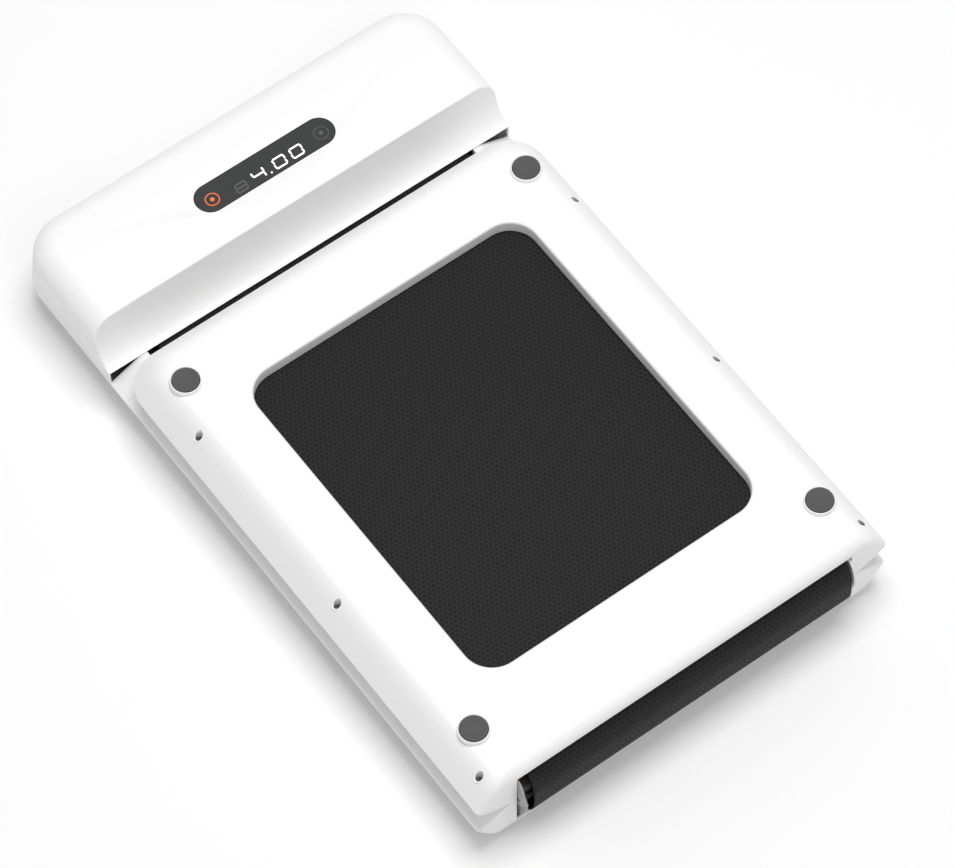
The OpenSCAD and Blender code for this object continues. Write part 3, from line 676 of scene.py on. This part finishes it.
def make_belt_strip(half, n, points):
    """One strip of the belt that bends at link n."""
    stations, a, b = strip_stations(points, n)
    name = f"{half}_belt_turn_{n}"
    mid_x, width = (BELT_X[0] + BELT_X[1]) / 2, BELT_X[1] - BELT_X[0]
    piece = begin(name, bpy.ops.mesh.primitive_plane_add, size=1, location=(mid_x, stations[0].y, stations[0].z))
    bpy.ops.transform.resize(value=(width, 0.5 * MM, 1), center_override=(mid_x, stations[0].y, stations[0].z))
    pick(lambda v: v.co.y > stations[0].y)
    bpy.ops.mesh.delete(type="VERT")
    bpy.ops.mesh.select_all(action="SELECT")
    bpy.ops.transform.translate(value=(0, 0.25 * MM, 0))
    for here, after in zip(stations, stations[1:]):
        bpy.ops.mesh.extrude_edges_move(TRANSFORM_OT_translate={"value": after - here})
    end()
    lengths = [0]
    for here, after in zip(stations, stations[1:]):
        lengths.append(lengths[-1] + (after - here).length)
    return piece, stations, lengths, a, b


def lay_pattern(piece, stations, lengths, base):
    """Writes each point's place across and along the belt, in metres, as its UV."""
    mesh = piece.data
    layer = mesh.uv_layers.active
    for loop in mesh.loops:
        place = mesh.vertices[loop.vertex_index].co
        near = min(range(len(stations)), key=lambda i: (stations[i].yz - place.yz).length)
        layer.data[loop.index].uv = (place.x, base + lengths[near])


def make_belt_side(half):
    points = belt_path(half)
    body = {0: f"{half}_run"}
    body.update({n: f"{half}_wrap_{n}" for n in range(1, 5)})
    made, base = [], 0
    for n in range(1, 5):
        piece, stations, lengths, a, b = make_belt_strip(half, n, points)
        lay_pattern(piece, stations, lengths, base)
        base += lengths[-1]
        bpy.ops.object.mode_set(mode="EDIT")
        bpy.ops.mesh.select_all(action="SELECT")
        bpy.ops.mesh.normals_make_consistent(inside=False)
        work = bmesh.from_edit_mesh(piece.data)
        work.faces.ensure_lookup_table()
        outward = Vector((0, -1, 1 if half == "rear" else -1))
        if sum((f.normal * f.calc_area() for f in work.faces), Vector()).dot(outward) < 0:
            bpy.ops.mesh.flip_normals()
        end()
        modify(piece, "SOLIDIFY", thickness=BELT_T, offset=1)
        smooth(piece, 40)
        made.append((piece, n, body[n - 1], body[n], a, b))
    return made


# ---- Shader maths ----

class Wire:
    """A socket of a material, so that its maths reads as sums."""

    def __init__(self, tree, out):
        self.tree, self.out = tree, out

    def add(self, kind, inputs, output=0, **settings):
        """Any node, from its type, settings and inputs."""
        node = self.tree.nodes.new(kind)
        for name, value in settings.items():
            setattr(node, name, value)
        for key, value in inputs.items():
            if isinstance(value, Wire):
                self.tree.links.new(value.out, node.inputs[key])
            else:
                node.inputs[key].default_value = value
        return Wire(self.tree, node.outputs[output])

    def math(self, operation, *values):
        return self.add("ShaderNodeMath", dict(enumerate(values)), operation=operation)

    def __add__(self, other):
        return self.math("ADD", self, other)

    def __sub__(self, other):
        return self.math("SUBTRACT", self, other)

    def __rsub__(self, other):
        return self.math("SUBTRACT", other, self)

    def __mul__(self, other):
        return self.math("MULTIPLY", self, other)

    def __truediv__(self, other):
        return self.math("DIVIDE", self, other)

    def __rtruediv__(self, other):
        return self.math("DIVIDE", other, self)

    def __pow__(self, other):
        return self.math("POWER", self, other)

    __radd__ = __add__
    __rmul__ = __mul__

    def floor(self):
        return self.math("FLOOR", self)

    def fraction(self):
        return self.math("FRACT", self)

    def ramp(self, low, high):
        """0 below low and 1 above high, smoothly."""
        return self.add("ShaderNodeMapRange", {0: self, 1: low, 2: high}, interpolation_type="SMOOTHSTEP")

    def colour(self, first, second):
        """From the first colour at 0 to the second at 1."""
        return self.add("ShaderNodeMix", {0: self, 6: (*first, 1), 7: (*second, 1)}, output=2, data_type="RGBA")

    def scaled(self, *factors):
        return self.add("ShaderNodeVectorMath", {0: self, 1: factors}, operation="MULTIPLY")

    def axis(self, n):
        return self.add("ShaderNodeSeparateXYZ", {0: self}, output=n)

    def noise(self, scale, detail=3):
        return self.add("ShaderNodeTexNoise", {"Vector": self, "Scale": scale, "Detail": detail})

    def bump(self, distance, strength=1.0):
        return self.add("ShaderNodeBump", {"Height": self, "Distance": distance, "Strength": strength})


def material(name, colour, rough, paint, metal=0.0, coat=0.0, source="Object", emission=0.0, shine=0.5):
    """A finish. paint gets the place on the piece and returns what varies over it."""
    made = bpy.data.materials.new(name)
    made.use_nodes = True
    tree = made.node_tree
    shader = tree.nodes["Principled BSDF"]
    shader.inputs["Base Color"].default_value = (*colour, 1)
    shader.inputs["Roughness"].default_value = rough
    shader.inputs["Metallic"].default_value = metal
    shader.inputs["Coat Weight"].default_value = coat
    shader.inputs["Specular IOR Level"].default_value = shine
    if emission:
        shader.inputs["Emission Color"].default_value = (*colour, 1)
        shader.inputs["Emission Strength"].default_value = emission
    start = Wire(tree, None)
    place = start.add("ShaderNodeTexCoord", {}, output={"Object": 3, "UV": 2}[source])
    place = start.add("ShaderNodeMapping", {0: place})
    for socket, value in paint(place).items():
        tree.links.new(value.out, shader.inputs[socket])
    return made


def shade(colour, factor):
    return tuple(c * factor for c in colour)


def grained(name, colour, rough, scale, change=0.06, depth=0.02, **more):
    """A plain finish with a fine grain."""
    def paint(place):
        grain = place.noise(scale)
        cloud = place.noise(scale * 0.12, 2)
        return {"Base Color": cloud.colour(shade(colour, 1 - change), colour),
                "Roughness": grain * 0.12 + (rough - 0.06),
                "Normal": grain.bump(depth * MM, 0.5)}
    return material(name, colour, rough, paint, **more)


def brushed(name, colour, rough, **more):
    """Metal with fine lines across it."""
    def paint(place):
        lines = place.scaled(60, 900, 900).noise(1.0, 2)
        return {"Base Color": lines.colour(shade(colour, 0.85), colour),
                "Roughness": lines * 0.2 + (rough - 0.1),
                "Normal": lines.bump(0.02 * MM, 0.4)}
    return material(name, colour, rough, paint, metal=1.0, **more)


DIMPLE_X, DIMPLE_Y = 5.6 * MM, 4.6 * MM


def dimpled(name, source, light):
    """Belt with rows of oval dimples, every other row moved by half; the dimples get painted shade in their
    hollows.
    """
    def paint(place):
        along = place.axis(1) / DIMPLE_Y
        row = along.floor()
        across = place.axis(0) / DIMPLE_X + row.math("MODULO", row, 2.0) * 0.5
        dx = across.fraction() - 0.5
        dy = (along.fraction() - 0.5) * 0.86
        far = (dx * dx + dy * dy) ** 0.5
        net = far.ramp(0.26, 0.46)
        fibre = place.noise(900)
        # Painted shade: the base colour falls to a third in the hollows of the dimples, with a fine random grain
        # over it.
        dimple_shade_and_fibre = net * 0.8 + fibre * 0.2
        return {"Base Color": dimple_shade_and_fibre.colour(shade(light, 0.35), light),
                "Roughness": 0.72 - net * 0.12,
                "Normal": (net + fibre * 0.15).bump(0.35 * MM, 0.8)}
    return material(name, light, 0.65, paint, source=source, shine=0.28)


def hinge_lit_right_side(place):
    # Painted light: the leaf is grey metal on the left side and painted white on the right side, where its rim
    # catches the light.
    side = place.axis(0).ramp(-0.01, 0.01)
    grain = place.noise(400)
    return {"Base Color": side.colour((0.38, 0.38, 0.38), (0.78, 0.78, 0.77)),
            "Normal": grain.bump(0.02 * MM, 0.4)}


BELT = (0.0105, 0.0105, 0.0108)
white = grained("white_abs", (0.89, 0.89, 0.888), 0.38, 700, change=0.012, depth=0.012)
finishes = {
    "white_casing": white,
    "frame_steel": grained("powder_coated_steel", (0.05, 0.05, 0.052), 0.55, 900),
    "deck_board": grained("laminated_deck", (0.08, 0.07, 0.06), 0.5, 300),
    "display_glass": grained("smoked_window", (0.026, 0.027, 0.028), 0.3, 500, depth=0.002, coat=0.4),
    "circuit_board": grained("green_board", (0.02, 0.12, 0.05), 0.5, 600),
    "motor_casing": grained("motor_enamel", (0.03, 0.03, 0.032), 0.42, 500),
    "turned_steel": brushed("turned_bright_steel", (0.56, 0.56, 0.57), 0.32),
    "drive_rubber": grained("ribbed_drive_rubber", (0.02, 0.02, 0.02), 0.7, 800),
    "sink_aluminium": brushed("extruded_aluminium", (0.7, 0.71, 0.72), 0.4),
    "black_plastic": grained("black_nylon", (0.022, 0.022, 0.023), 0.45, 900),
    "foot_rubber": grained("grey_rubber", (0.085, 0.085, 0.087), 0.8, 900, depth=0.05),
    "screw_steel": grained("blackened_screw", (0.1, 0.1, 0.1), 0.4, 900, metal=0.8),
    # The hinge leaves carry painted light on their right side.
    "hinge_steel": material("painted_leaf", (0.6, 0.6, 0.6), 0.45, hinge_lit_right_side),
    "walking_belt": dimpled("woven_belt", "Object", BELT),
}
belt_turn = dimpled("woven_belt_turned", "UV", BELT)
black_edge = grained("black_mask", (0.008, 0.008, 0.008), 0.3, 500)
lit = grained("lit_segment", (0.9, 0.9, 0.9), 0.4, 500, emission=0.6)
unlit = grained("unlit_segment", (0.1, 0.1, 0.102), 0.4, 500)
amber = grained("amber_mark", (0.75, 0.14, 0.02), 0.4, 500, emission=0.5)


def dress(piece, slot, body, *made_for, finish=None):
    """Gives a new piece its finish, its body and the CAD nodes that it stands for."""
    if not piece.data.materials:
        piece.data.materials.append(finish or finishes[slot])
    if body:
        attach(piece, body)
    if made_for:
        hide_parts(*made_for)


# ---- Build ----

for part in frame["record"]["subparts"]:
    mesh = frame["nodes"][part["node"]].data
    mesh.materials.clear()
    mesh.materials.append(finishes[part["material_slot"]])

dress(make_rear_pan(), "white_casing", "rear_half", "rear_pan")
dress(make_front_pan(), "white_casing", "front_half", "front_pan")
dress(make_screw_wells("rear_screw_wells", True), "white_casing", "rear_half")
dress(make_screw_wells("front_screw_wells", False), "white_casing", "front_half")
for rail in make_rails():
    half, side = rail.name.split("_")[0], rail.name.split("_")[3]
    dress(rail, "white_casing", f"{half}_half", f"{half}_rail_{side}")
dress(make_head(), "white_casing", "front_half", "head_cover")

lens = make_lens()
lens.data.materials.clear()
lens.data.materials.append(black_edge)
lens.data.materials.append(finishes["display_glass"])
for face in lens.data.polygons:
    inner = face.normal.z > 0.9 and face.area > 0.001
    face.material_index = 1 if inner else 0
dress(lens, "display_glass", "front_half", "display_lens")


def display_point(x, y):
    """A place on the display, from millimetres across and along."""
    return x * MM, y * MM - 0.406


shown = [(*display_point(-12.2, 721), FOUR), (*display_point(15, 721), ZERO), (*display_point(36.8, 721), ZERO)]
dress(make_digits("lit_digits", shown, 14 * MM, 15.5 * MM, 2 * MM), "display_glass", "front_half", finish=lit)
dress(make_point("lit_point", *display_point(0.5, 714.9), 2.4 * MM), "display_glass", "front_half", finish=lit)
ghost = [(*display_point(-35.5, 719), tuple(BARS))]
dress(make_digits("unlit_digit", ghost, 12 * MM, 14.5 * MM, 1.8 * MM), "display_glass", "front_half", finish=unlit)
dress(make_ring("start_mark", *display_point(-69, 724.6), 8 * MM, 1.1 * MM), "display_glass", "front_half",
      finish=amber)
dress(make_ring("mode_mark", *display_point(70.8, 724.5), 8.3 * MM, 0.9 * MM), "display_glass", "front_half",
      finish=unlit)

dress(make_feet("rear_foot_pads", "rear_feet", True), "foot_rubber", "rear_half", "rear_feet")
dress(make_feet("front_foot_pads", "front_feet", False), "foot_rubber", "front_half", "front_feet")
dress(make_collars("rear_foot_collars", "rear_feet", True), "white_casing", "rear_half")
dress(make_collars("front_foot_collars", "front_feet", False), "white_casing", "front_half")

for half in ("front", "rear"):
    for strip, n, body_a, body_b, bend_start, bend_end in make_belt_side(half):
        stood_for = [f"{half}_wrap_{n}"] + ([f"{half}_belt_run"] if n == 1 else [])
        dress(strip, "walking_belt", None, *stood_for, finish=belt_turn)
        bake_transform(strip)

# ---- Floor, light and camera ----

floor = begin("floor", bpy.ops.mesh.primitive_plane_add, size=24, location=(0, 0, -0.0005))
end()
floor.data.materials.append(grained("pale_floor", (0.9, 0.9, 0.9), 0.9, 40, change=0.002, depth=0.0))

world = bpy.context.scene.world or bpy.data.worlds.new("studio")
bpy.context.scene.world = world
world.use_nodes = True
world.node_tree.nodes["Background"].inputs["Color"].default_value = (1, 1, 1, 1)
world.node_tree.nodes["Background"].inputs["Strength"].default_value = 0.45


def soft_light(name, place, aim, size, power):
    data = bpy.data.lights.new(name, "AREA")
    data.shape = "DISK"
    data.size = size
    data.energy = power
    lamp = bpy.data.objects.new(name, data)
    bpy.context.scene.collection.objects.link(lamp)
    lamp.location = place
    lamp.rotation_euler = (Vector(place) - Vector(aim)).to_track_quat("Z", "Y").to_euler()


soft_light("key_light", (0.3, 0.1, 4.6), (0, 0, 0), 2.6, 132)
soft_light("fill_light", (-0.6, -2.6, 3.9), (0, 0, 0), 3.0, 24)

camera_data = bpy.data.cameras.new("camera")
camera_data.lens = 203.03
camera_data.sensor_width = 36
camera_data.clip_end = 100
camera = bpy.data.objects.new("camera", camera_data)
bpy.context.scene.collection.objects.link(camera)
camera.location = (-1.6443, -2.2800, 4.8863)
camera.rotation_euler = Vector((0.2967, 0.4015, -0.8665)).to_track_quat("-Z", "Y").to_euler()
bpy.context.scene.camera = camera
bpy.context.scene.view_settings.view_transform = "Standard"
